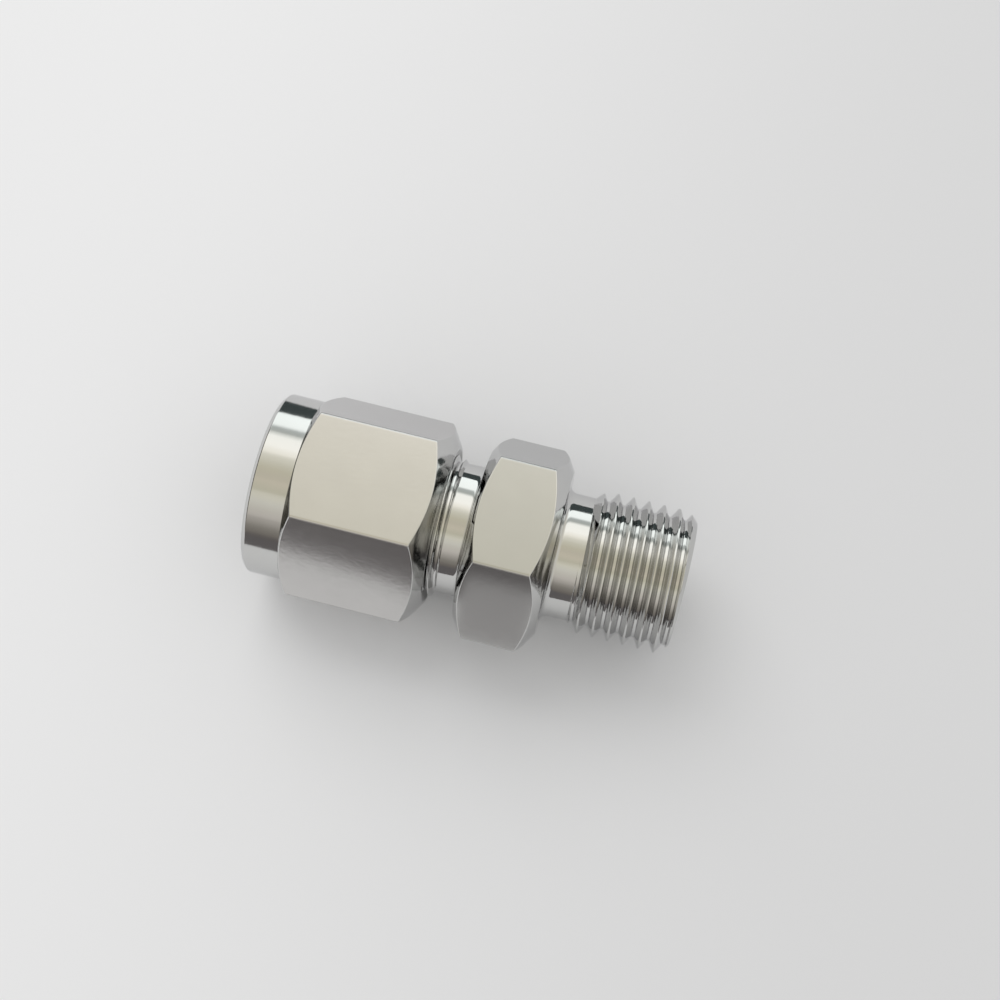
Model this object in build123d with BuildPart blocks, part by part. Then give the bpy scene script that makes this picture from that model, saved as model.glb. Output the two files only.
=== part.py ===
from build123d import *
import math
import os

# Double ferrule male connector for an 8 mm tube, with an M14 x 1.5 stud.
# Millimetres, +Z up. The fitting lies on its wrench flats at z = 0, with its axis along X.
# The tube enters from -X and the male stud points to +X. The origin is under the middle.
# Both threads are plain cylinders at their crests, as the mating gauges see them.

# Wrench flats: the nut's thread bore and the wall around it set them
nut_wall = 1.95
hex_edge_round = 0.2

# Tube, and the bores it passes
tube_diameter = 8.0
ferrule_tube_clearance = 0.08
socket_tube_clearance = 0.10
nut_tube_clearance = 0.15
flow_diameter = 6.4

# Body: hexagon
body_hex_width = 8.0
body_hex_end_inset = 0.65
body_hex_chamfer_angle = 55.0

# Body: barrel that takes the nut, with the mouth that the front ferrule seats in
barrel_length = 12.2
barrel_thread_diameter = 14.0
barrel_lead_chamfer = 0.7
neck_diameter = 12.8
neck_length = 2.1
neck_fillet = 0.6
mouth_depth = 4.2
mouth_half_angle = 12.0
socket_depth = 9.6

# Body: male stud
stud_length = 12.5
stud_thread_diameter = 14.0
stud_lead_chamfer = 0.9
relief_length = 2.6
relief_diameter = 12.1
relief_fillet = 0.8
relief_exit_angle = 45.0
flow_edge_chamfer = 0.4

# Nut
nut_length = 17.4
nut_gap = 3.2
collar_length = 3.7
collar_inset = 0.1
collar_edge_chamfer = 0.4
nut_hex_back_angle = 60.0
nut_hex_front_angle = 50.0
nut_end_inset = 0.8
nut_mouth_chamfer = 0.6
nut_hole_chamfer = 0.4
cavity_clearance = 0.35
tightening_room = 1.5
thread_relief_length = 1.7
thread_relief_depth = 0.1
thread_running_clearance = 0.05

# Ferrules
ferrule_seat_clearance = 0.05
front_ferrule_length = 4.1
front_ferrule_overhang = 1.5
front_ferrule_recess = 0.6
front_ferrule_edge = 0.2
back_ferrule_step = 0.2
back_ferrule_flange = 0.85
back_ferrule_tip = 0.25
drive_face_angle = 45.0

# Radii
barrel_radius = barrel_thread_diameter / 2
nut_bore_radius = barrel_radius + thread_running_clearance
flat_radius = nut_bore_radius + nut_wall
axis_height = flat_radius
corner_radius = flat_radius / math.cos(math.radians(30)) + hex_edge_round
tube_radius = tube_diameter / 2
socket_radius = tube_radius + socket_tube_clearance
ferrule_bore_radius = tube_radius + ferrule_tube_clearance
nut_hole_radius = tube_radius + nut_tube_clearance
flow_radius = flow_diameter / 2
neck_radius = neck_diameter / 2
stud_radius = stud_thread_diameter / 2
relief_radius = relief_diameter / 2
body_hex_end_radius = flat_radius - body_hex_end_inset
collar_radius = flat_radius - collar_inset
nut_end_radius = flat_radius - nut_end_inset

# How far the middle of a root fillet stands off its corner, as a share of its radius.
# Two cones through that point make each root fillet, which keeps its facets few.
root_fillet_share = 1 - math.cos(math.radians(45))

# Slopes of the cones, as rise in radius for each millimetre along the axis
body_hex_slope = math.tan(math.radians(body_hex_chamfer_angle))
nut_back_slope = math.tan(math.radians(nut_hex_back_angle))
nut_front_slope = math.tan(math.radians(nut_hex_front_angle))
mouth_slope = math.tan(math.radians(mouth_half_angle))
relief_slope = math.tan(math.radians(relief_exit_angle))
drive_slope = math.tan(math.radians(drive_face_angle))
mouth_radius = socket_radius + mouth_depth * mouth_slope

# Places along the axis, from the tube end to the stud end
overall_length = nut_length + nut_gap + body_hex_width + stud_length
nut_back = -overall_length / 2
collar_front = nut_back + collar_length
nut_front = nut_back + nut_length
hex_back = nut_front + nut_gap
hex_front = hex_back + body_hex_width
stud_end = hex_front + stud_length
barrel_face = hex_back - barrel_length
neck_back = hex_back - neck_length
barrel_thread_end = neck_back - (barrel_radius - neck_radius)
mouth_end = barrel_face + mouth_depth
socket_shoulder = barrel_face + socket_depth
relief_end = hex_front + relief_length
stud_thread_start = relief_end + (stud_radius - relief_radius) / relief_slope

fitting_axis = Axis((0, 0, axis_height), (1, 0, 0))
section = Plane(origin=(0, 0, axis_height), x_dir=(1, 0, 0), z_dir=(0, -1, 0))


def cross_plane(x):
    """Plane across the axis at x, facing the stud end."""
    return Plane(origin=(x, 0, axis_height), x_dir=(0, 1, 0), z_dir=(1, 0, 0))


# Body: one bar, turned at both ends and milled to a hexagon between them
with BuildPart() as body:
    with BuildSketch(cross_plane(hex_back)):
        RegularPolygon(radius=flat_radius, side_count=6, major_radius=False)
    extrude(amount=body_hex_width)
    fillet(body.edges().filter_by(Axis.X), radius=hex_edge_round)

    # Turned chamfers that round off the corners of the hexagon
    body_corner_rise = (corner_radius - body_hex_end_radius) / body_hex_slope
    with BuildSketch(section):
        with BuildLine():
            Polyline(
                (hex_back, 0),
                (hex_back, body_hex_end_radius),
                (hex_back + body_corner_rise, corner_radius),
                (hex_front - body_corner_rise, corner_radius),
                (hex_front, body_hex_end_radius),
                (hex_front, 0),
                close=True,
            )
        make_face()
    revolve(axis=fitting_axis, mode=Mode.INTERSECT)

    # Barrel: lead chamfer, thread crest, run-out cone and neck, with a fillet at the hexagon
    neck_root_step = neck_fillet * root_fillet_share
    with BuildSketch(section):
        with BuildLine():
            Polyline(
                (barrel_face, 0),
                (barrel_face, barrel_radius - barrel_lead_chamfer),
                (barrel_face + barrel_lead_chamfer, barrel_radius),
                (barrel_thread_end, barrel_radius),
                (neck_back, neck_radius),
                (hex_back - neck_fillet, neck_radius),
                (hex_back - neck_root_step, neck_radius + neck_root_step),
                (hex_back, neck_radius + neck_fillet),
                (hex_back, 0),
                close=True,
            )
        make_face()
    revolve(axis=fitting_axis)

    # Stud: fillet at the hexagon, thread relief, thread crest and lead chamfer
    relief_root_step = relief_fillet * root_fillet_share
    with BuildSketch(section):
        with BuildLine():
            Polyline(
                (hex_front, 0),
                (hex_front, relief_radius + relief_fillet),
                (hex_front + relief_root_step, relief_radius + relief_root_step),
                (hex_front + relief_fillet, relief_radius),
                (relief_end, relief_radius),
                (stud_thread_start, stud_radius),
                (stud_end - stud_lead_chamfer, stud_radius),
                (stud_end, stud_radius - stud_lead_chamfer),
                (stud_end, 0),
                close=True,
            )
        make_face()
    revolve(axis=fitting_axis)

    # Bores: tapered mouth, tube socket down to its shoulder, and the flow passage
    with BuildSketch(section):
        with BuildLine():
            Polyline(
                (barrel_face, 0),
                (barrel_face, mouth_radius),
                (mouth_end, socket_radius),
                (socket_shoulder, socket_radius),
                (socket_shoulder, flow_radius),
                (stud_end - flow_edge_chamfer, flow_radius),
                (stud_end, flow_radius + flow_edge_chamfer),
                (stud_end, 0),
                close=True,
            )
        make_face()
    revolve(axis=fitting_axis, mode=Mode.SUBTRACT)


# Front ferrule: a thin-nosed cone that seats in the mouth, recessed behind for the back ferrule
front_ferrule_back = barrel_face - front_ferrule_overhang
front_ferrule_nose = front_ferrule_back + front_ferrule_length
front_ferrule_rim = front_ferrule_back + front_ferrule_edge
seat_radius = mouth_radius - ferrule_seat_clearance / math.cos(math.radians(mouth_half_angle))
nose_radius = seat_radius - (front_ferrule_nose - barrel_face) * mouth_slope
rim_radius = seat_radius + (barrel_face - front_ferrule_rim) * mouth_slope
recess_radius = ferrule_bore_radius + front_ferrule_recess

with BuildPart() as front_ferrule:
    with BuildSketch(section):
        with BuildLine():
            Polyline(
                (front_ferrule_back + front_ferrule_recess, ferrule_bore_radius),
                (front_ferrule_back, recess_radius),
                (front_ferrule_back, rim_radius - front_ferrule_edge),
                (front_ferrule_rim, rim_radius),
                (front_ferrule_nose, nose_radius),
                (front_ferrule_nose, ferrule_bore_radius),
                close=True,
            )
        make_face()
    revolve(axis=fitting_axis)


# Back ferrule: a nose for the recess of the front ferrule, a flange and a conical drive face
back_ferrule_radius = rim_radius + back_ferrule_step
flange_front = front_ferrule_back - ferrule_seat_clearance
flange_back = flange_front - back_ferrule_flange
drive_back = flange_back - (back_ferrule_radius - ferrule_bore_radius) / drive_slope
tip_radius = ferrule_bore_radius + back_ferrule_tip
tip_root_radius = recess_radius - ferrule_seat_clearance
tip_front = flange_front + tip_root_radius - tip_radius

with BuildPart() as back_ferrule:
    with BuildSketch(section):
        with BuildLine():
            Polyline(
                (drive_back, ferrule_bore_radius),
                (flange_back, back_ferrule_radius),
                (flange_front, back_ferrule_radius),
                (flange_front, tip_root_radius),
                (tip_front, tip_radius),
                (tip_front, ferrule_bore_radius),
                close=True,
            )
        make_face()
    revolve(axis=fitting_axis)


# Nut: hexagon with a turned collar, bored for the tube, the ferrules and the barrel thread
cavity_radius = back_ferrule_radius + cavity_clearance
drive_gap = ferrule_seat_clearance / math.sin(math.radians(drive_face_angle))
drive_start = drive_back - drive_gap + (nut_hole_radius - ferrule_bore_radius) / drive_slope
drive_end = flange_back - drive_gap + (cavity_radius - back_ferrule_radius) / drive_slope
cavity_step = barrel_face - tightening_room
thread_relief_radius = nut_bore_radius + thread_relief_depth
nut_thread_start = cavity_step + thread_relief_length

with BuildPart() as nut:
    with BuildSketch(cross_plane(collar_front)):
        RegularPolygon(radius=flat_radius, side_count=6, major_radius=False)
    extrude(amount=nut_front - collar_front)
    fillet(nut.edges().filter_by(Axis.X), radius=hex_edge_round)

    # Turned chamfers: shallow behind the collar, deep towards the body
    nut_back_rise = (corner_radius - collar_radius) / nut_back_slope
    nut_front_rise = (corner_radius - nut_end_radius) / nut_front_slope
    with BuildSketch(section):
        with BuildLine():
            Polyline(
                (collar_front, 0),
                (collar_front, collar_radius),
                (collar_front + nut_back_rise, corner_radius),
                (nut_front - nut_front_rise, corner_radius),
                (nut_front, nut_end_radius),
                (nut_front, 0),
                close=True,
            )
        make_face()
    revolve(axis=fitting_axis, mode=Mode.INTERSECT)

    # Collar
    with BuildSketch(section):
        with BuildLine():
            Polyline(
                (nut_back, 0),
                (nut_back, collar_radius - collar_edge_chamfer),
                (nut_back + collar_edge_chamfer, collar_radius),
                (collar_front, collar_radius),
                (collar_front, 0),
                close=True,
            )
        make_face()
    revolve(axis=fitting_axis)

    # Bores: tube hole, drive face, ferrule cavity, thread relief, thread and mouth chamfer
    with BuildSketch(section):
        with BuildLine():
            Polyline(
                (nut_back, 0),
                (nut_back, nut_hole_radius + nut_hole_chamfer),
                (nut_back + nut_hole_chamfer, nut_hole_radius),
                (drive_start, nut_hole_radius),
                (drive_end, cavity_radius),
                (cavity_step, cavity_radius),
                (cavity_step, thread_relief_radius),
                (nut_thread_start, thread_relief_radius),
                (nut_thread_start, nut_bore_radius),
                (nut_front - nut_mouth_chamfer, nut_bore_radius),
                (nut_front, nut_bore_radius + nut_mouth_chamfer),
                (nut_front, 0),
                close=True,
            )
        make_face()
    revolve(axis=fitting_axis, mode=Mode.SUBTRACT)


os.makedirs("parts", exist_ok=True)
body.part.label = "body"
export_step(body.part, "parts/body.step")
front_ferrule.part.label = "front_ferrule"
export_step(front_ferrule.part, "parts/front_ferrule.step")
back_ferrule.part.label = "back_ferrule"
export_step(back_ferrule.part, "parts/back_ferrule.step")
nut.part.label = "nut"
export_step(nut.part, "parts/nut.step")
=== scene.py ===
import logging
import math
from dataclasses import dataclass, field
from enum import Enum
from typing import Iterable, Sequence

import bmesh
import bpy
from bmesh.types import BMEdge, BMesh, BMFace, BMVert
from mathutils import Matrix, Vector


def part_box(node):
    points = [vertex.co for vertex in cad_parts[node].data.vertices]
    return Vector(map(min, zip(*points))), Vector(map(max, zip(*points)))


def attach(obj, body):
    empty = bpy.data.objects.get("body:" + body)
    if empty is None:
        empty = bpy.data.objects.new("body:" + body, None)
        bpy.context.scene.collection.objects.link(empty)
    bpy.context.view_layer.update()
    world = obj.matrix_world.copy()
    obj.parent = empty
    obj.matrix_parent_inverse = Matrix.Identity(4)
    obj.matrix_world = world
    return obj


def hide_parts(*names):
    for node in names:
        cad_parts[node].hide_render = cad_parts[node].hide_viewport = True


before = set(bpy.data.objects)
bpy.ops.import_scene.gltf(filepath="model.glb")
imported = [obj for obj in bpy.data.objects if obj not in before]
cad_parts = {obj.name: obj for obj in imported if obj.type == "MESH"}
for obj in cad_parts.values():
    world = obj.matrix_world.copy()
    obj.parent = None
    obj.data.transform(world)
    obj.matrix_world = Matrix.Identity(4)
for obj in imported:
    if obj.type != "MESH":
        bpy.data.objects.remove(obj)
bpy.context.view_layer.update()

log = logging.getLogger("connector")

MM = 0.001
STEEP = math.tan(math.radians(58))
Outline = Sequence[tuple[float, float]]


class Surface(Enum):
    """How a face of the fitting was finished, with its place in a piece's material slots."""

    TURNED = 0
    MILLED = 1


class Side(Enum):
    """Which way metal is taken off when a thread's ends are turned down."""

    OUTSIDE = -1
    INSIDE = 1


@dataclass(frozen=True)
class SteelFinish:
    """A polished stainless steel, with the marks that its cutting left.

    Attributes:
        name: Name of the material.
        tint: Linear base colour of the metal.
        roughness: Lowest and highest roughness.
        marks_per_mm: Fine turning marks for each millimetre, or 0 for none.
        marks_height: Height of the fine turning marks, in metres.
        rings_per_mm: Broad turned rings for each millimetre, or 0 for none.
        rings_height: Height of the broad rings, in metres.
        mottle_mm: Size of the mottling, in millimetres.
        mottle_height: Height of the mottling, in metres.
    """

    name: str
    tint: tuple[float, float, float]
    roughness: tuple[float, float]
    marks_per_mm: float
    marks_height: float
    rings_per_mm: float
    rings_height: float
    mottle_mm: float
    mottle_height: float

    def material(self, axis_height: float) -> bpy.types.Material:
        """Makes the node material.

        Args:
            axis_height: Height of the fitting's axis, in metres.

        Returns:
            The material, which reads Object coordinates.
        """
        made = bpy.data.materials.new(self.name)
        made.use_nodes = True
        tree = made.node_tree
        shader = tree.nodes["Principled BSDF"]
        shader.inputs["Metallic"].default_value = 1.0
        shader.inputs["Specular Tint"].default_value = (0.86, 0.86, 0.87, 1.0)
        coords = tree.nodes.new("ShaderNodeTexCoord")
        centred = tree.nodes.new("ShaderNodeMapping")
        centred.inputs["Location"].default_value = (0.0, 0.0, -axis_height)
        tree.links.new(coords.outputs["Object"], centred.inputs["Vector"])

        stain = self._noise(tree, centred.outputs["Vector"], 0.35 / MM, 3.0)
        tone = tree.nodes.new("ShaderNodeMix")
        tone.data_type = "RGBA"
        tone.inputs["A"].default_value = (*[0.97 * c for c in self.tint], 1.0)
        tone.inputs["B"].default_value = (*[min(1.0, 1.03 * c) for c in self.tint], 1.0)
        tree.links.new(stain, tone.inputs["Factor"])
        tree.links.new(tone.outputs["Result"], shader.inputs["Base Color"])

        polish = self._noise(tree, centred.outputs["Vector"], 1.3 / MM, 4.0)
        spread = tree.nodes.new("ShaderNodeMapRange")
        spread.inputs["To Min"].default_value = self.roughness[0]
        spread.inputs["To Max"].default_value = self.roughness[1]
        tree.links.new(polish, spread.inputs["Value"])
        tree.links.new(spread.outputs["Result"], shader.inputs["Roughness"])

        normal = self._bump(tree, self._noise(tree, centred.outputs["Vector"], 1.0 / (self.mottle_mm * MM), 2.0),
                            self.mottle_height, None)
        for per_mm, height in ((self.rings_per_mm, self.rings_height), (self.marks_per_mm, self.marks_height)):
            if per_mm:
                normal = self._bump(tree, self._marks(tree, centred.outputs["Vector"], per_mm), height, normal)
        tree.links.new(normal, shader.inputs["Normal"])
        return made

    @staticmethod
    def _noise(tree: bpy.types.NodeTree, vector: bpy.types.NodeSocket, scale: float,
               detail: float) -> bpy.types.NodeSocket:
        """Adds a noise texture over the surface and returns its factor."""
        noise = tree.nodes.new("ShaderNodeTexNoise")
        noise.inputs["Scale"].default_value = scale
        noise.inputs["Detail"].default_value = detail
        tree.links.new(vector, noise.inputs["Vector"])
        return noise.outputs["Fac"]

    @staticmethod
    def _marks(tree: bpy.types.NodeTree, vector: bpy.types.NodeSocket, per_mm: float) -> bpy.types.NodeSocket:
        """Adds the rings that a lathe tool leaves, spaced along the turned outline, and returns their height."""
        parts = tree.nodes.new("ShaderNodeSeparateXYZ")
        tree.links.new(vector, parts.inputs["Vector"])
        flat = tree.nodes.new("ShaderNodeCombineXYZ")
        tree.links.new(parts.outputs["Y"], flat.inputs["Y"])
        tree.links.new(parts.outputs["Z"], flat.inputs["Z"])
        radius = tree.nodes.new("ShaderNodeVectorMath")
        radius.operation = "LENGTH"
        tree.links.new(flat.outputs["Vector"], radius.inputs[0])
        along = tree.nodes.new("ShaderNodeMath")
        along.operation = "ADD"
        tree.links.new(parts.outputs["X"], along.inputs[0])
        tree.links.new(radius.outputs["Value"], along.inputs[1])
        rings = tree.nodes.new("ShaderNodeTexNoise")
        rings.noise_dimensions = "1D"
        rings.inputs["Scale"].default_value = per_mm / MM
        rings.inputs["Detail"].default_value = 2.0
        tree.links.new(along.outputs["Value"], rings.inputs["W"])
        return rings.outputs["Fac"]

    @staticmethod
    def _bump(tree: bpy.types.NodeTree, height: bpy.types.NodeSocket, metres: float,
              normal: bpy.types.NodeSocket | None) -> bpy.types.NodeSocket:
        """Adds a bump of a real height, over an earlier one if there is one, and returns its normal."""
        bump = tree.nodes.new("ShaderNodeBump")
        bump.inputs["Strength"].default_value = 1.0
        bump.inputs["Distance"].default_value = metres
        tree.links.new(height, bump.inputs["Height"])
        if normal is not None:
            tree.links.new(normal, bump.inputs["Normal"])
        return bump.outputs["Normal"]


TURNED_BODY = SteelFinish("turned_body_steel", (0.63, 0.63, 0.62), (0.05, 0.09), 8.0, 0.0000002,
                          1.0, 0.0000012, 1.5, 0.0000008)
# Painted shade: the body's flats take a darker tint than the nut's, standing in for the darker reflections that
# they show.
MILLED_BODY = SteelFinish("milled_body_steel", (0.54, 0.54, 0.53), (0.10, 0.16), 0.0, 0.0,
                          0.0, 0.0, 1.1, 0.0000022)
TURNED_NUT = SteelFinish("turned_nut_steel", (0.63, 0.63, 0.62), (0.08, 0.13), 7.0, 0.0000006,
                         1.3, 0.0000120, 1.2, 0.0000020)
MILLED_NUT = SteelFinish("milled_nut_steel", (0.61, 0.60, 0.59), (0.12, 0.18), 0.0, 0.0,
                         0.0, 0.0, 0.45, 0.0000030)
TURNED_FERRULE = SteelFinish("turned_ferrule_steel", (0.60, 0.60, 0.59), (0.12, 0.18), 9.0, 0.0000004,
                             0.0, 0.0, 0.8, 0.0000005)


@dataclass(frozen=True)
class ThreadForm:
    """A sixty degree thread, right-handed, seen as a wall of changing radius.

    Attributes:
        crest_radius: Largest radius of the wall, in metres.
        root_radius: Smallest radius of the wall, in metres.
        pitch: Advance in one turn, in metres.
        crest_width: Width of the flat at the largest radius, in metres.
        ease: Rounding where the flanks meet the crest and the root, in metres.
        phase: Place of a crest above the axis, as a share of the pitch.
    """

    crest_radius: float
    root_radius: float
    pitch: float
    crest_width: float
    ease: float
    phase: float = 0.0

    def outline(self, first: int, count: int) -> list[tuple[float, float]]:
        """Lays out several pitches side by side.

        Args:
            first: Number of the first crest, counted from the fitting's middle.
            count: Number of pitches.

        Returns:
            Points of (place along the axis, radius), in metres.
        """
        flank = (self.crest_radius - self.root_radius) * math.tan(math.radians(30))
        half_crest = self.crest_width / 2
        corners = []
        for turn in range(first, first + count):
            crest = (turn + self.phase) * self.pitch
            corners += [(crest - half_crest - flank, self.root_radius), (crest - half_crest, self.crest_radius),
                        (crest + half_crest, self.crest_radius), (crest + half_crest + flank, self.root_radius)]
        return subdivided(eased(corners, self.ease), self.pitch / 10)


def eased(corners: Outline, ease: float, arc_points: int = 3) -> list[tuple[float, float]]:
    """Rounds the inner corners of an outline.

    Args:
        corners: Points of (place along the axis, radius).
        ease: How far from each corner its rounding starts, limited by the runs beside it.
        arc_points: Points on each rounding.

    Returns:
        The rounded outline, with its first and last points as given.
    """
    rounded = [corners[0]]
    for before, corner, after in zip(corners, corners[1:], corners[2:]):
        b, c, a = Vector(before), Vector(corner), Vector(after)
        reach = min(ease, 0.45 * (b - c).length, 0.45 * (a - c).length)
        start, end = c + (b - c).normalized() * reach, c + (a - c).normalized() * reach
        for step in range(arc_points):
            t = step / (arc_points - 1)
            rounded.append(tuple((1 - t) ** 2 * start + 2 * t * (1 - t) * c + t ** 2 * end))
    rounded.append(corners[-1])
    return rounded


def subdivided(points: Outline, longest: float) -> list[tuple[float, float]]:
    """Splits the runs of an outline so that none is longer than a given length."""
    split = [points[0]]
    for start, end in zip(points, points[1:]):
        pieces = max(1, math.ceil(math.dist(start, end) / longest))
        split += [(start[0] + (end[0] - start[0]) * k / pieces, start[1] + (end[1] - start[1]) * k / pieces)
                  for k in range(1, pieces + 1)]
    return split


def radius_at(outline: Outline, x: float) -> float:
    """Radius of a straight-sided outline at a place along the axis, level beyond its ends."""
    if x <= outline[0][0]:
        return outline[0][1]
    for (x0, r0), (x1, r1) in zip(outline, outline[1:]):
        if x <= x1:
            return r0 + (r1 - r0) * (x - x0) / (x1 - x0)
    return outline[-1][1]


@dataclass
class Lathe:
    """Turns, threads and joins walls about the fitting's axis in one mesh.

    Attributes:
        axis_height: Height of the axis, in metres.
        steps: Divisions of a full turn.
        work: The mesh on the lathe.
    """

    axis_height: float
    steps: int = 160
    work: BMesh = field(default_factory=bmesh.new)

    def place(self, vert: BMVert, x: float, radius: float) -> None:
        """Moves a point to a ring, without turning it about the axis."""
        out = Vector((0.0, vert.co.y, vert.co.z - self.axis_height)).normalized()
        vert.co = Vector((x, 0.0, self.axis_height)) + out * radius

    def turn(self, outline: Outline) -> tuple[list[BMEdge], list[BMEdge]]:
        """Turns an open outline into a wall.

        Args:
            outline: Points of (place along the axis, radius), in metres.

        Returns:
            The edges of the wall's first and last rings.
        """
        scratch = bmesh.new()
        points = [scratch.verts.new((x, 0.0, self.axis_height + r)) for x, r in outline]
        runs = [scratch.edges.new(pair) for pair in zip(points, points[1:])]
        bmesh.ops.spin(scratch, geom=points + runs, cent=(0.0, 0.0, self.axis_height), axis=(1.0, 0.0, 0.0),
                       angle=math.tau, steps=self.steps, use_merge=True)
        return self._add(scratch)

    def thread(self, form: ThreadForm, start: float, end: float, turned: Outline,
               side: Side) -> tuple[list[BMEdge], list[BMEdge]]:
        """Cuts a helical wall and turns its ends down.

        Args:
            form: The thread.
            start: Where the wall starts along the axis, in metres.
            end: Where it ends.
            turned: Outline that the wall is turned down to where it stands proud of it.
            side: Whether the wall is an outside or an inside one.

        Returns:
            The edges of the wall's first and last rings.
        """
        first = math.floor(start / form.pitch) - 2
        count = math.ceil((end - start) / form.pitch) + 4
        outline = form.outline(first, count)
        scratch = bmesh.new()
        points = [scratch.verts.new((x, 0.0, self.axis_height + r)) for x, r in outline]
        runs = [scratch.edges.new(pair) for pair in zip(points, points[1:])]
        bmesh.ops.spin(scratch, geom=points + runs, cent=(0.0, 0.0, self.axis_height), axis=(1.0, 0.0, 0.0),
                       dvec=(form.pitch / self.steps, 0.0, 0.0), angle=math.tau, steps=self.steps)
        bmesh.ops.remove_doubles(scratch, verts=scratch.verts[:], dist=0.001 * MM)
        for vert in scratch.verts:
            radius = math.hypot(vert.co.y, vert.co.z - self.axis_height)
            limit = radius_at(turned, vert.co.x)
            if (radius > limit) if side is Side.OUTSIDE else (radius < limit):
                self.place(vert, vert.co.x, limit)
        for x, way in ((start, -1.0), (end, 1.0)):
            bmesh.ops.bisect_plane(scratch, geom=scratch.verts[:] + scratch.edges[:] + scratch.faces[:],
                                   dist=0.0001 * MM, plane_co=(x, 0.0, 0.0), plane_no=(way, 0.0, 0.0),
                                   clear_outer=True)
        for vert in scratch.verts:
            if vert.is_boundary:
                x = start if abs(vert.co.x - start) < abs(vert.co.x - end) else end
                self.place(vert, x, radius_at(turned, x))
        return self._add(scratch)

    def _add(self, scratch: BMesh) -> tuple[list[BMEdge], list[BMEdge]]:
        """Puts a wall into the work and returns the edges of its two open rings, lowest along the axis first."""
        carrier = bpy.data.meshes.new("wall")
        scratch.to_mesh(carrier)
        scratch.free()
        known = len(self.work.edges)
        self.work.from_mesh(carrier)
        bpy.data.meshes.remove(carrier)
        self.work.edges.ensure_lookup_table()
        added = self.work.edges[known:]
        rings = open_rings(added)
        return rings[0], rings[-1]

    def extend(self, ring: list[BMEdge], outline: Outline) -> list[BMEdge]:
        """Carries an open ring on along an outline.

        Args:
            ring: Edges of the ring.
            outline: The next points of (place along the axis, radius), in metres.

        Returns:
            The edges of the last ring.
        """
        for x, radius in outline:
            grown = bmesh.ops.extrude_edge_only(self.work, edges=ring)["geom"]
            verts = {g for g in grown if isinstance(g, BMVert)}
            ring = [g for g in grown if isinstance(g, BMEdge) and all(v in verts for v in g.verts)]
            for vert in verts:
                self.place(vert, x, radius)
        return ring

    def join(self, one: list[BMEdge], other: list[BMEdge]) -> None:
        """Closes the gap between two open rings."""
        bmesh.ops.bridge_loops(self.work, edges=one + other)

    def finish(self, name: str, materials: Sequence[bpy.types.Material]) -> bpy.types.Object:
        """Ends the work: one closed mesh, with its normals out and its edges crisp.

        Args:
            name: Name of the piece.
            materials: Its materials, in the order of Surface.

        Returns:
            The piece's object, at the origin.
        """
        bmesh.ops.remove_doubles(self.work, verts=self.work.verts[:], dist=0.0005 * MM)
        bmesh.ops.recalc_face_normals(self.work, faces=self.work.faces[:])
        loose = sum(1 for e in self.work.edges if not e.is_manifold)
        mesh = bpy.data.meshes.new(name)
        for face in self.work.faces:
            face.smooth = True
        self.work.to_mesh(mesh)
        self.work.free()
        mesh.set_sharp_from_angle(angle=math.radians(28))
        for material in materials:
            mesh.materials.append(material)
        piece = bpy.data.objects.new(name, mesh)
        bpy.context.scene.collection.objects.link(piece)
        weighted = piece.modifiers.new("even_shading", "WEIGHTED_NORMAL")
        weighted.keep_sharp = True
        log.info("%s: %d faces, %d open edges", name, len(mesh.polygons), loose)
        return piece


def open_rings(edges: Iterable[BMEdge]) -> list[list[BMEdge]]:
    """Sorts the boundary edges among those given into rings, by their place along the axis.

    Args:
        edges: Edges to look through.

    Returns:
        One list of edges for each ring, lowest first.
    """
    rings: dict[float, list[BMEdge]] = {}
    for edge in edges:
        if edge.is_boundary:
            rings.setdefault(round(edge.verts[0].co.x, 6), []).append(edge)
    return [rings[x] for x in sorted(rings)]


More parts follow.
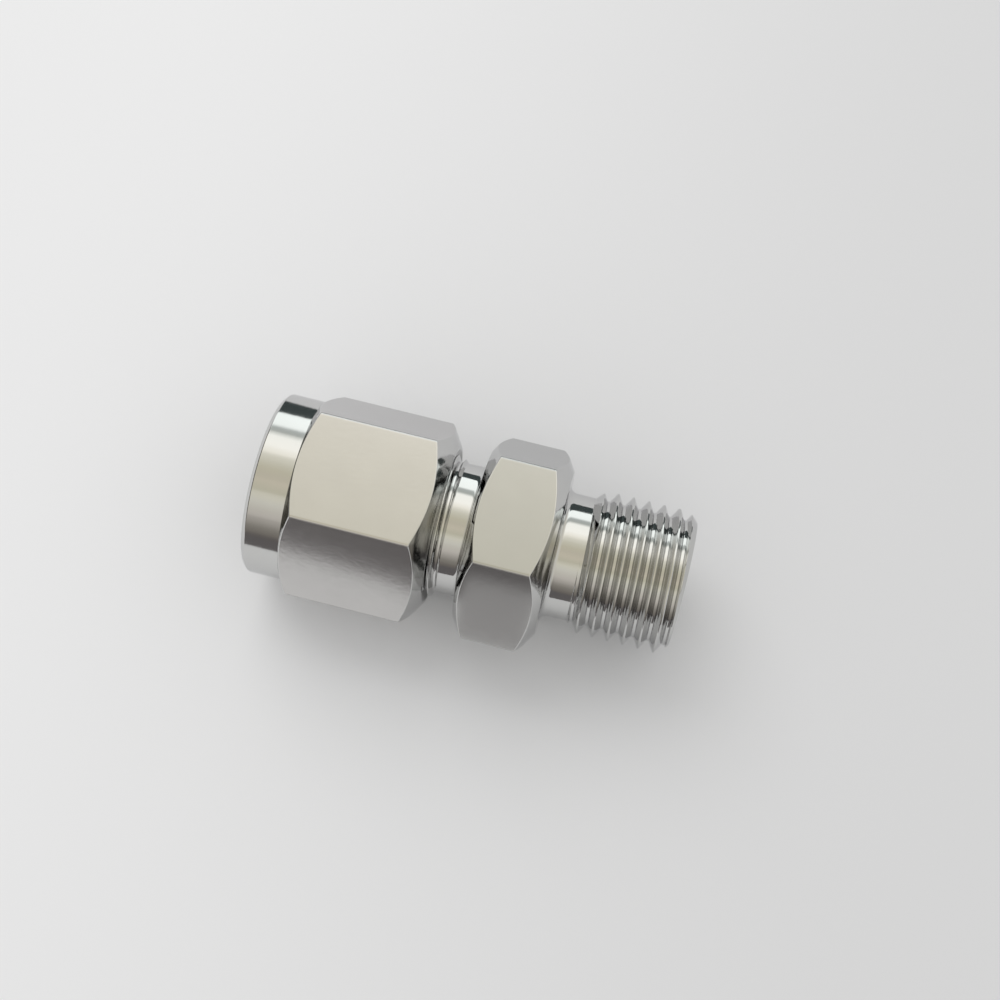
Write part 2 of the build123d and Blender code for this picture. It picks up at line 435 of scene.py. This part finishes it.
@dataclass
class Hexagon:
    """A stretch of hexagon bar with turned chamfers at both ends.

    Attributes:
        start: Where it starts along the axis, in metres.
        end: Where it ends.
        flat_radius: Half the size across flats.
        edge_round: Rounding of its six long edges.
        start_rim: Radius that the first chamfer comes down to.
        end_rim: Radius that the second chamfer comes down to.
        start_slope: Gain in radius for each metre along the first chamfer.
        end_slope: The same for the second.
        arris: Rounding where the chamfers meet the flats.
    """

    start: float
    end: float
    flat_radius: float
    edge_round: float
    start_rim: float
    end_rim: float
    start_slope: float
    end_slope: float
    arris: float
    facets: int = 96

    def add_to(self, lathe: Lathe) -> tuple[list[BMEdge], list[BMEdge]]:
        """Mills the hexagon, chamfers it and adds it to the lathe's work without its end faces.

        Args:
            lathe: The lathe that holds the rest of the piece.

        Returns:
            The edges of its first and last open rings.
        """
        bar = bmesh.new()
        length = self.end - self.start
        corner = self.flat_radius / math.cos(math.pi / 6)
        place = (Matrix.Translation(((self.start + self.end) / 2, 0.0, lathe.axis_height))
                 @ Matrix.Rotation(math.pi / 2, 4, "Y"))
        bmesh.ops.create_cone(bar, cap_ends=True, segments=6, radius1=corner, radius2=corner, depth=length,
                              matrix=place)
        top = max(v.co.z for v in bar.verts) - lathe.axis_height
        if top > (self.flat_radius + corner) / 2:
            bmesh.ops.rotate(bar, verts=bar.verts[:], cent=(0.0, 0.0, lathe.axis_height),
                             matrix=Matrix.Rotation(math.pi / 6, 3, "X"))
        long_edges = [e for e in bar.edges if abs(e.verts[0].co.x - e.verts[1].co.x) > length / 2]
        bmesh.ops.bevel(bar, geom=long_edges, offset=self.edge_round, offset_type="OFFSET", segments=3, profile=0.5,
                        affect="EDGES", material=-1)
        self._chamfer(bar, lathe.axis_height, self.start, self.start_rim, self.start_slope, -1.0)
        self._chamfer(bar, lathe.axis_height, self.end, self.end_rim, self.end_slope, 1.0)
        arrises = [e for e in bar.edges if len(e.link_faces) == 2
                   and sorted(abs(f.normal.x) > 0.1 for f in e.link_faces) == [False, True]
                   and all(abs(f.normal.x) < 0.99 for f in e.link_faces)]
        bmesh.ops.bevel(bar, geom=arrises, offset=self.arris, offset_type="OFFSET", segments=2, profile=0.5,
                        affect="EDGES", material=-1)
        ends = [f for f in bar.faces if abs(f.normal.x) > 0.99]
        bmesh.ops.delete(bar, geom=ends, context="FACES_ONLY")
        for face in bar.faces:
            milled = abs(face.normal.x) < 0.02
            face.material_index = Surface.MILLED.value if milled else Surface.TURNED.value
        return lathe._add(bar)

    def _chamfer(self, bar: BMesh, axis_height: float, x: float, rim: float, slope: float, way: float) -> None:
        """Turns one end down to a cone, as many flat cuts round the axis."""
        for cut in range(self.facets):
            angle = math.tau * (cut + 0.5) / self.facets
            out = Vector((0.0, math.sin(angle), math.cos(angle)))
            normal = (out + Vector((way * slope, 0.0, 0.0))).normalized()
            point = Vector((x, 0.0, axis_height)) + out * rim
            made = bmesh.ops.bisect_plane(bar, geom=bar.verts[:] + bar.edges[:] + bar.faces[:], dist=0.0001 * MM,
                                          plane_co=point, plane_no=normal, clear_outer=True)
            seam = [g for g in made["geom_cut"] if isinstance(g, BMEdge)]
            if seam:
                bmesh.ops.holes_fill(bar, edges=seam, sides=0)
        bar.normal_update()


@dataclass
class FittingSizes:
    """Places and radii of the fitting, in metres, worked out from the frame and a few sizes.

    Attributes:
        nut_back: Tube end of the fitting.
        stud_end: Far end of the stud.
        flat_radius: Half the size across flats, and the height of the axis.
    """

    nut_back: float
    stud_end: float
    nut_front: float
    barrel_face: float
    flat_radius: float
    body_hex_width: float = 8.0 * MM
    nut_gap: float = 3.2 * MM
    collar_length: float = 3.7 * MM
    rim_inset: float = 0.1 * MM
    nut_front_rim: float = 7.8 * MM
    body_back_rim: float = 8.35 * MM
    body_front_rim: float = 8.0 * MM
    crest_radius: float = 7.0 * MM
    neck_radius: float = 6.4 * MM
    neck_length: float = 2.1 * MM
    neck_fillet: float = 0.6 * MM
    relief_radius: float = 6.05 * MM
    relief_length: float = 2.6 * MM
    relief_fillet: float = 0.8 * MM
    stud_chamfer: float = 0.9 * MM
    barrel_chamfer: float = 0.7 * MM
    socket_radius: float = 4.1 * MM
    socket_depth: float = 9.6 * MM
    mouth_depth: float = 4.2 * MM
    flow_radius: float = 3.2 * MM
    hole_radius: float = 4.15 * MM
    edge: float = 0.4 * MM
    ease: float = 0.08 * MM

    @classmethod
    def from_frame(cls) -> "FittingSizes":
        """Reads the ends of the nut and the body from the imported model."""
        body_low, body_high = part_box("body")
        nut_low, nut_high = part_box("nut")
        return cls(nut_back=nut_low.x, stud_end=body_high.x, nut_front=nut_high.x, barrel_face=body_low.x,
                   flat_radius=body_high.z / 2)

    @property
    def hex_back(self) -> float:
        """Nut side of the body's hexagon."""
        return self.nut_front + self.nut_gap

    @property
    def hex_front(self) -> float:
        """Stud side of the body's hexagon."""
        return self.hex_back + self.body_hex_width


STUD_THREAD = ThreadForm(7.0 * MM, 6.05 * MM, 1.5 * MM, 0.14 * MM, 0.06 * MM, 0.64)
BARREL_THREAD = ThreadForm(6.98 * MM, 6.39 * MM, 1.0 * MM, 0.12 * MM, 0.05 * MM)
NUT_THREAD = ThreadForm(7.05 * MM, 6.46 * MM, 1.0 * MM, 0.12 * MM, 0.05 * MM)


@dataclass
class ConnectorBody:
    """The body: hexagon, barrel with the mouth for the front ferrule, and the male stud."""

    sizes: FittingSizes
    materials: Sequence[bpy.types.Material]

    def build(self) -> bpy.types.Object:
        """Turns, threads and mills the body.

        Returns:
            The finished piece.
        """
        s = self.sizes
        lathe = Lathe(s.flat_radius)
        hexagon = Hexagon(s.hex_back, s.hex_front, s.flat_radius, 0.18 * MM, s.body_back_rim, s.body_front_rim,
                          STEEP, STEEP, 0.08 * MM)
        hex_left, hex_right = hexagon.add_to(lathe)

        relief_end = s.hex_front + s.relief_length
        rise = s.crest_radius - s.relief_radius
        stud_turned = [(relief_end, s.relief_radius), (relief_end + rise, s.crest_radius),
                       (s.stud_end - s.stud_chamfer, s.crest_radius),
                       (s.stud_end, s.crest_radius - s.stud_chamfer)]
        stud_left, stud_right = lathe.thread(STUD_THREAD, relief_end, s.stud_end, stud_turned, Side.OUTSIDE)
        relief = [(relief_end, s.relief_radius)]
        relief += fillet_run(s.hex_front, s.relief_radius, s.relief_fillet, 1.0)
        lathe.join(lathe.extend(stud_left, relief[1:]), hex_right)

        neck_start = s.hex_back - s.neck_length
        thread_end = neck_start
        barrel_turned = [(s.barrel_face, s.crest_radius - s.barrel_chamfer),
                         (s.barrel_face + s.barrel_chamfer, s.crest_radius),
                         (neck_start - (s.crest_radius - s.neck_radius), s.crest_radius),
                         (neck_start, s.neck_radius)]
        barrel_left, barrel_right = lathe.thread(BARREL_THREAD, s.barrel_face, thread_end, barrel_turned,
                                                 Side.OUTSIDE)
        lathe.join(lathe.extend(barrel_right, fillet_run(s.hex_back, s.neck_radius, s.neck_fillet, -1.0)), hex_left)

        mouth_slope = math.tan(math.radians(12))
        mouth_radius = s.socket_radius + s.mouth_depth * mouth_slope
        shoulder = s.barrel_face + s.socket_depth
        bores = [(s.stud_end, s.crest_radius - s.stud_chamfer), (s.stud_end, s.flow_radius + s.edge),
                 (s.stud_end - s.edge, s.flow_radius), (shoulder, s.flow_radius), (shoulder, s.socket_radius),
                 (s.barrel_face + s.mouth_depth, s.socket_radius), (s.barrel_face, mouth_radius),
                 (s.barrel_face, s.crest_radius - s.barrel_chamfer)]
        lathe.join(lathe.extend(stud_right, eased(bores, s.ease)[1:]), barrel_left)
        return lathe.finish("connector_body", self.materials)


def fillet_run(face: float, radius: float, fillet: float, way: float, points: int = 7) -> list[tuple[float, float]]:
    """A quarter round from a turned shank up to a face.

    Args:
        face: Place of the face along the axis.
        radius: Radius of the shank.
        fillet: Radius of the round.
        way: 1 where the shank lies beyond the face along the axis, and -1 where it lies before it.
        points: Points on the round.

    Returns:
        Points of (place along the axis, radius), from the shank to the face.
    """
    turns = [math.pi / 2 * k / (points - 1) for k in range(points)]
    return [(face + way * fillet * (1 - math.sin(t)), radius + fillet * (1 - math.cos(t))) for t in turns]


@dataclass
class FittingNut:
    """The nut: collar, hexagon, tube hole, drive face, ferrule cavity and thread."""

    sizes: FittingSizes
    materials: Sequence[bpy.types.Material]

    def build(self) -> bpy.types.Object:
        """Turns, threads and mills the nut.

        Returns:
            The finished piece.
        """
        s = self.sizes
        lathe = Lathe(s.flat_radius)
        collar_front = s.nut_back + s.collar_length
        collar_radius = s.flat_radius - s.rim_inset
        hexagon = Hexagon(collar_front, s.nut_front, s.flat_radius, 0.18 * MM, collar_radius, s.nut_front_rim,
                          STEEP, STEEP, 0.08 * MM)
        hex_left, hex_right = hexagon.add_to(lathe)

        front_ferrule_low, front_ferrule_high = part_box("front_ferrule")
        back_ferrule_low, back_ferrule_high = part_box("back_ferrule")
        cavity_radius = (back_ferrule_high.y - back_ferrule_low.y) / 2 + 0.35 * MM
        drive_start = back_ferrule_low.x
        drive_end = drive_start + cavity_radius - s.hole_radius
        cavity_step = s.barrel_face - 1.5 * MM
        groove_end = cavity_step + 1.7 * MM
        groove_radius = 7.15 * MM
        mouth = 0.5 * MM
        bore_radius = NUT_THREAD.crest_radius
        turned = [(groove_end, groove_radius), (groove_end + 0.8 * MM, NUT_THREAD.root_radius - 0.05 * MM),
                  (s.nut_front - mouth - 0.6 * MM, NUT_THREAD.root_radius - 0.05 * MM),
                  (s.nut_front, bore_radius + mouth)]
        thread_left, thread_right = lathe.thread(NUT_THREAD, groove_end, s.nut_front, turned, Side.INSIDE)
        lathe.join(lathe.extend(thread_right, [(s.nut_front, bore_radius + mouth + 0.1 * MM)]), hex_right)

        inside = [(groove_end, groove_radius), (cavity_step, groove_radius), (cavity_step, cavity_radius),
                  (drive_end, cavity_radius), (drive_start, s.hole_radius),
                  (s.nut_back + s.edge, s.hole_radius), (s.nut_back, s.hole_radius + s.edge),
                  (s.nut_back, collar_radius - s.edge), (s.nut_back + s.edge, collar_radius),
                  (collar_front, collar_radius - 0.02 * MM)]
        lathe.join(lathe.extend(thread_left, eased(inside, s.ease)[1:]), hex_left)
        return lathe.finish("fitting_nut", self.materials)


@dataclass
class Ferrule:
    """A loose turned ring, closed on itself.

    Attributes:
        name: Name of the piece.
        corners: Its section, as points of (place along the axis, radius).
        axis_height: Height of the fitting's axis.
        materials: Its materials.
    """

    name: str
    corners: Outline
    axis_height: float
    materials: Sequence[bpy.types.Material]
    ease: float = 0.05 * MM

    def build(self) -> bpy.types.Object:
        """Turns the ring.

        Returns:
            The finished piece.
        """
        lathe = Lathe(self.axis_height)
        middle = tuple((Vector(self.corners[0]) + Vector(self.corners[-1])) / 2)
        lathe.turn(eased([middle, *self.corners, middle], self.ease))
        return lathe.finish(self.name, self.materials)


@dataclass(frozen=True)
class PhotoCamera:
    """The camera that took the picture, placed round the fitting.

    Attributes:
        target: Point on the table that the middle of the picture shows, in metres.
        distance: From the target, in metres.
        elevation: Degrees above the table.
        azimuth: Degrees round from the fitting's side, towards the stud.
        roll: Degrees that the picture is turned clockwise.
        focal_px: Focal length in pixels of a picture 1000 pixels wide.
    """

    target: tuple[float, float, float]
    distance: float
    elevation: float
    azimuth: float
    roll: float
    focal_px: float

    def place(self) -> None:
        """Makes the camera and gives it to the scene."""
        data = bpy.data.cameras.new("photo_camera")
        data.sensor_width = 36.0
        data.lens = self.focal_px * data.sensor_width / 1000.0
        data.clip_start = 0.005
        camera = bpy.data.objects.new("photo_camera", data)
        up, round_axis = math.radians(self.elevation), math.radians(self.azimuth)
        back = Vector((math.sin(round_axis) * math.cos(up), -math.cos(round_axis) * math.cos(up), math.sin(up)))
        turn = back.to_track_quat("Z", "Y").to_matrix().to_4x4()
        camera.matrix_world = (Matrix.Translation(Vector(self.target) + back * self.distance) @ turn
                               @ Matrix.Rotation(math.radians(self.roll), 4, "Z"))
        bpy.context.scene.collection.objects.link(camera)
        bpy.context.scene.camera = camera


Bands = Sequence[tuple[float, tuple[float, float, float]]]


def reflection_only(thing: bpy.types.Object) -> None:
    """Leaves an object to the metal's reflections alone."""
    thing.visible_camera = False
    thing.visible_diffuse = False
    thing.visible_shadow = False
    thing.visible_transmission = False


ACROSS = (
    (0.0, (0.06, 0.08, 0.08)),
    (4.0, (0.06, 0.08, 0.08)),
    (6.0, (1.42, 1.50, 1.48)),
    (30.0, (1.36, 1.42, 1.39)),
    (34.0, (0.60, 0.64, 0.62)),
    (40.0, (0.56, 0.59, 0.56)),
    (45.0, (1.36, 1.36, 1.29)),
    (60.0, (1.40, 1.38, 1.30)),
    (68.0, (1.24, 1.20, 1.08)),
    (74.0, (0.95, 0.92, 0.80)),
    (82.0, (0.80, 0.77, 0.64)),
    (90.0, (0.71, 0.67, 0.53)),
    (98.0, (0.70, 0.65, 0.53)),
    (106.0, (0.76, 0.70, 0.57)),
    (115.0, (0.68, 0.65, 0.52)),
    (123.0, (0.85, 0.82, 0.70)),
    (131.0, (0.80, 0.78, 0.70)),
    (139.0, (0.72, 0.69, 0.62)),
    (147.0, (0.66, 0.62, 0.57)),
    (155.0, (0.48, 0.45, 0.41)),
    (164.0, (0.30, 0.28, 0.25)),
    (172.0, (0.22, 0.20, 0.18)),
    (180.0, (0.13, 0.12, 0.12)),
)
ALONG = (
    (0.0, (0.50, 0.49, 0.46)),
    (20.0, (0.76, 0.74, 0.68)),
    (40.0, (0.80, 0.77, 0.68)),
    (90.0, (0.74, 0.71, 0.60)),
    (140.0, (0.62, 0.60, 0.52)),
    (152.0, (0.12, 0.11, 0.09)),
    (180.0, (0.05, 0.05, 0.04)),
)
BACK_FLAG = ((-32.0, 1.5, 20.5), (-25.0, 3.6, 20.5), (-4.3, 8.0, 17.4), (8.5, 10.8, 23.0), (13.0, 9.5, 23.5),
             (28.0, 9.5, 23.5))
FRONT_FLAG = ((-30.0, 5.5, 14.0), (-10.0, 4.5, 14.0), (-4.0, 3.5, 14.0), (8.0, 7.5, 14.0), (12.0, 3.0, 14.0),
              (26.0, 3.0, 14.0))
# Painted shade: a grey strip below the horizon in front of the body, standing in for the shaded paper that its
# lower faces reflect.
REFLECTED_SHADE_STRIP = ((-1.5, 0.1, 7.5), (6.8, 0.1, 7.5))


@dataclass(frozen=True)
class Tent:
    """The room as the polished metal sees it: a half dome, banded across the fitting and along it.

    Attributes:
        radius: Radius of the dome, in metres.
        across: Stops of (degrees up from the far side's horizon, linear colour).
        along: Stops of (degrees up from the stud side's horizon, linear colour).
        turn_over: Share of the way along the fitting where one set gives way to the other.
    """

    radius: float
    across: Bands
    along: Bands
    turn_over: tuple[float, float]

    def raise_up(self) -> None:
        """Builds the dome."""
        shell = bmesh.new()
        bmesh.ops.create_icosphere(shell, subdivisions=4, radius=self.radius)
        bmesh.ops.bisect_plane(shell, geom=shell.verts[:] + shell.edges[:] + shell.faces[:], dist=0.0001 * MM,
                               plane_co=(0.0, 0.0, 0.0), plane_no=(0.0, 0.0, -1.0), clear_outer=True)
        mesh = bpy.data.meshes.new("tent")
        shell.to_mesh(mesh)
        shell.free()
        mesh.materials.append(self._cloth())
        tent = bpy.data.objects.new("tent", mesh)
        bpy.context.scene.collection.objects.link(tent)
        reflection_only(tent)

    def _cloth(self) -> bpy.types.Material:
        """Makes the banded cloth, which glows by the direction from the fitting."""
        made = bpy.data.materials.new("tent_cloth")
        made.use_nodes = True
        tree = made.node_tree
        tree.nodes.clear()
        coords = tree.nodes.new("ShaderNodeTexCoord")
        parts = tree.nodes.new("ShaderNodeSeparateXYZ")
        tree.links.new(coords.outputs["Object"], parts.inputs["Vector"])
        across = self._ramp(tree, parts.outputs["Z"], parts.outputs["Y"], self.across)
        along = self._ramp(tree, parts.outputs["Z"], parts.outputs["X"], self.along)
        reach = tree.nodes.new("ShaderNodeMath")
        reach.operation = "ABSOLUTE"
        tree.links.new(parts.outputs["X"], reach.inputs[0])
        share = tree.nodes.new("ShaderNodeMapRange")
        share.interpolation_type = "SMOOTHSTEP"
        share.inputs["From Min"].default_value = self.turn_over[0] * self.radius
        share.inputs["From Max"].default_value = self.turn_over[1] * self.radius
        tree.links.new(reach.outputs["Value"], share.inputs["Value"])
        blend = tree.nodes.new("ShaderNodeMix")
        blend.data_type = "RGBA"
        tree.links.new(share.outputs["Result"], blend.inputs["Factor"])
        tree.links.new(across, blend.inputs["A"])
        tree.links.new(along, blend.inputs["B"])
        glow = tree.nodes.new("ShaderNodeEmission")
        tree.links.new(blend.outputs["Result"], glow.inputs["Color"])
        output = tree.nodes.new("ShaderNodeOutputMaterial")
        tree.links.new(glow.outputs["Emission"], output.inputs["Surface"])
        return made

    @staticmethod
    def _ramp(tree: bpy.types.NodeTree, height: bpy.types.NodeSocket, reach: bpy.types.NodeSocket,
              bands: Bands) -> bpy.types.NodeSocket:
        """Adds a colour ramp over the angle up from a horizon and returns its colour."""
        angle = tree.nodes.new("ShaderNodeMath")
        angle.operation = "ARCTAN2"
        tree.links.new(height, angle.inputs[0])
        tree.links.new(reach, angle.inputs[1])
        share = tree.nodes.new("ShaderNodeMath")
        share.operation = "DIVIDE"
        share.inputs[1].default_value = math.pi
        tree.links.new(angle.outputs["Value"], share.inputs[0])
        ramp = tree.nodes.new("ShaderNodeValToRGB")
        tree.links.new(share.outputs["Value"], ramp.inputs["Fac"])
        stops = ramp.color_ramp.elements
        while len(stops) > 1:
            stops.remove(stops[-1])
        for number, (degrees, colour) in enumerate(bands):
            stop = stops[0] if number == 0 else stops.new(degrees / 180.0)
            stop.position = degrees / 180.0
            stop.color = (*colour, 1.0)
        return ramp.outputs["Color"]


@dataclass(frozen=True)
class Flag:
    """A glowing strip that only the metal's reflections see.

    Attributes:
        name: Name of the card.
        y: Its place across the fitting, in metres.
        colour: Its linear colour.
        stations: Places along the fitting with the heights of its lower and upper edges, in millimetres.
    """

    name: str
    y: float
    colour: tuple[float, float, float]
    stations: Sequence[tuple[float, float, float]]

    def hang(self) -> None:
        """Builds the strip from its lower edge, raised station by station."""
        card = bmesh.new()
        low = [card.verts.new((x * MM, self.y, z * MM)) for x, z, _ in self.stations]
        edges = [card.edges.new(pair) for pair in zip(low, low[1:])]
        raised = bmesh.ops.extrude_edge_only(card, edges=edges)["geom"]
        tops = sorted((g for g in raised if isinstance(g, BMVert)), key=lambda v: v.co.x)
        for vert, (_, _, height) in zip(tops, self.stations):
            vert.co.z = height * MM
        mesh = bpy.data.meshes.new(self.name)
        card.to_mesh(mesh)
        card.free()
        made = bpy.data.materials.new(self.name)
        made.use_nodes = True
        tree = made.node_tree
        tree.nodes.clear()
        glow = tree.nodes.new("ShaderNodeEmission")
        glow.inputs["Color"].default_value = (*self.colour, 1.0)
        output = tree.nodes.new("ShaderNodeOutputMaterial")
        tree.links.new(glow.outputs["Emission"], output.inputs["Surface"])
        mesh.materials.append(made)
        strip = bpy.data.objects.new(self.name, mesh)
        bpy.context.scene.collection.objects.link(strip)
        reflection_only(strip)


@dataclass(frozen=True)
class PaperTable:
    """The sheet of white paper that the fitting lies on.

    Attributes:
        size: Length of its sides, in metres.
        colour: Its linear colour.
        painted_falloff: Share by which its tone drops over a hundred millimetres towards the stud, painted shade
            that stands in for the lamp's light falling off.
    """

    size: float
    colour: tuple[float, float, float]
    painted_falloff: float

    def lay(self) -> None:
        """Builds the sheet as the floor."""
        sheet = bmesh.new()
        bmesh.ops.create_grid(sheet, x_segments=1, y_segments=1, size=self.size / 2)
        mesh = bpy.data.meshes.new("paper_table")
        sheet.to_mesh(mesh)
        sheet.free()
        made = bpy.data.materials.new("paper")
        made.use_nodes = True
        tree = made.node_tree
        shader = tree.nodes["Principled BSDF"]
        shader.inputs["Roughness"].default_value = 0.9
        shader.inputs["Specular IOR Level"].default_value = 0.1
        coords = tree.nodes.new("ShaderNodeTexCoord")
        parts = tree.nodes.new("ShaderNodeSeparateXYZ")
        tree.links.new(coords.outputs["Object"], parts.inputs["Vector"])
        # Painted light: the paper is painted lighter towards the nut and darker towards the stud, standing in for
        # the lamp's falloff.
        place = tree.nodes.new("ShaderNodeMapRange")
        place.interpolation_type = "SMOOTHSTEP"
        place.inputs["From Min"].default_value = -60.0 * MM
        place.inputs["From Max"].default_value = 60.0 * MM
        tree.links.new(parts.outputs["X"], place.inputs["Value"])
        tone = tree.nodes.new("ShaderNodeMix")
        tone.data_type = "RGBA"
        half = self.painted_falloff / 2
        tone.inputs["A"].default_value = (*[(1 + half) * c for c in self.colour], 1.0)
        tone.inputs["B"].default_value = (*[(1 - half) * c for c in self.colour], 1.0)
        tree.links.new(place.outputs["Result"], tone.inputs["Factor"])
        tree.links.new(tone.outputs["Result"], shader.inputs["Base Color"])
        mesh.materials.append(made)
        table = bpy.data.objects.new("paper_table", mesh)
        bpy.context.scene.collection.objects.link(table)


@dataclass(frozen=True)
class RoomLight:
    """Plain soft light: a pale room and one large lamp."""

    room_colour: tuple[float, float, float]
    room_strength: float
    lamp_place: tuple[float, float, float]
    lamp_size: float
    lamp_watts: float

    def switch_on(self) -> None:
        """Makes the world and the lamp."""
        world = bpy.data.worlds.new("pale_room")
        world.use_nodes = True
        background = world.node_tree.nodes["Background"]
        background.inputs["Color"].default_value = (*self.room_colour, 1.0)
        background.inputs["Strength"].default_value = self.room_strength
        bpy.context.scene.world = world
        data = bpy.data.lights.new("soft_lamp", "AREA")
        data.shape = "DISK"
        data.size = self.lamp_size
        data.energy = self.lamp_watts
        lamp = bpy.data.objects.new("soft_lamp", data)
        place = Vector(self.lamp_place)
        lamp.matrix_world = Matrix.Translation(place) @ place.to_track_quat("Z", "Y").to_matrix().to_4x4()
        lamp.visible_glossy = False
        lamp.visible_camera = False
        bpy.context.scene.collection.objects.link(lamp)


def ferrule_sections(axis_height: float) -> tuple[Outline, Outline]:
    """Works out the sections of the two ferrules from their boxes in the frame.

    Args:
        axis_height: Height of the fitting's axis; not used.

    Returns:
        The corners of the front ferrule's section and of the back ferrule's.
    """
    bore = 4.08 * MM
    slope = math.tan(math.radians(12))
    front_low, front_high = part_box("front_ferrule")
    rim = (front_high.y - front_low.y) / 2
    edge, recess = 0.2 * MM, 0.6 * MM
    nose = rim - (front_high.x - front_low.x - edge) * slope
    front = [(front_low.x + recess, bore), (front_low.x, bore + recess), (front_low.x, rim - edge),
             (front_low.x + edge, rim), (front_high.x, nose), (front_high.x, bore)]
    back_low, back_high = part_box("back_ferrule")
    outer = (back_high.y - back_low.y) / 2
    flange_back = back_low.x + outer - bore
    flange_front = front_low.x - 0.05 * MM
    tip = back_high.x - flange_front
    back = [(back_low.x, bore), (flange_back, outer), (flange_front, outer),
            (flange_front, bore + 0.25 * MM + tip), (back_high.x, bore + 0.25 * MM), (back_high.x, bore)]
    return front, back


def dress(piece: bpy.types.Object, body: str, node: str) -> None:
    """Puts a finished piece in the place of its solid.

    Args:
        piece: The piece.
        body: The moving body that carries it.
        node: The solid that it stands for.
    """
    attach(piece, body)
    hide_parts(node)
    log.info("%s rides on %s", piece.name, body)


def main() -> None:
    """Builds the fitting's pieces, the table, the light and the camera."""
    logging.basicConfig(level=logging.INFO, format="%(message)s")
    sizes = FittingSizes.from_frame()
    height = sizes.flat_radius
    body_steel = [TURNED_BODY.material(height), MILLED_BODY.material(height)]
    nut_steel = [TURNED_NUT.material(height), MILLED_NUT.material(height)]
    ferrule_steel = [TURNED_FERRULE.material(height)]

    dress(ConnectorBody(sizes, body_steel).build(), "body", "body")
    dress(FittingNut(sizes, nut_steel).build(), "nut", "nut")
    front, back = ferrule_sections(height)
    dress(Ferrule("front_ferrule_ring", front, height, ferrule_steel).build(), "ferrules",
          "front_ferrule")
    dress(Ferrule("back_ferrule_ring", back, height, ferrule_steel).build(), "ferrules",
          "back_ferrule")

    PaperTable(3.0, (0.78, 0.78, 0.78), 0.18).lay()
    RoomLight((1.0, 1.0, 1.0), 0.78, (-0.30, 0.38, 0.6), 0.60, 1.5).switch_on()
    Tent(0.8, ACROSS, ALONG, (0.45, 0.75)).raise_up()
    Flag("back_flag", 40.0 * MM, (0.06, 0.075, 0.075), BACK_FLAG).hang()
    Flag("front_flag", -38.0 * MM, (0.15, 0.14, 0.14), FRONT_FLAG).hang()
    # Painted shade in the reflections of the body's lower faces.
    Flag("reflected_paper_shade", -37.0 * MM, (0.43, 0.42, 0.42), REFLECTED_SHADE_STRIP).hang()
    PhotoCamera((0.001, 0.0066, 0.0), 0.160, 72.6, 12.7, 1.7, 1549.0).place()
    bpy.context.scene.view_settings.view_transform = "Standard"


if __name__ == "__main__":
    main()
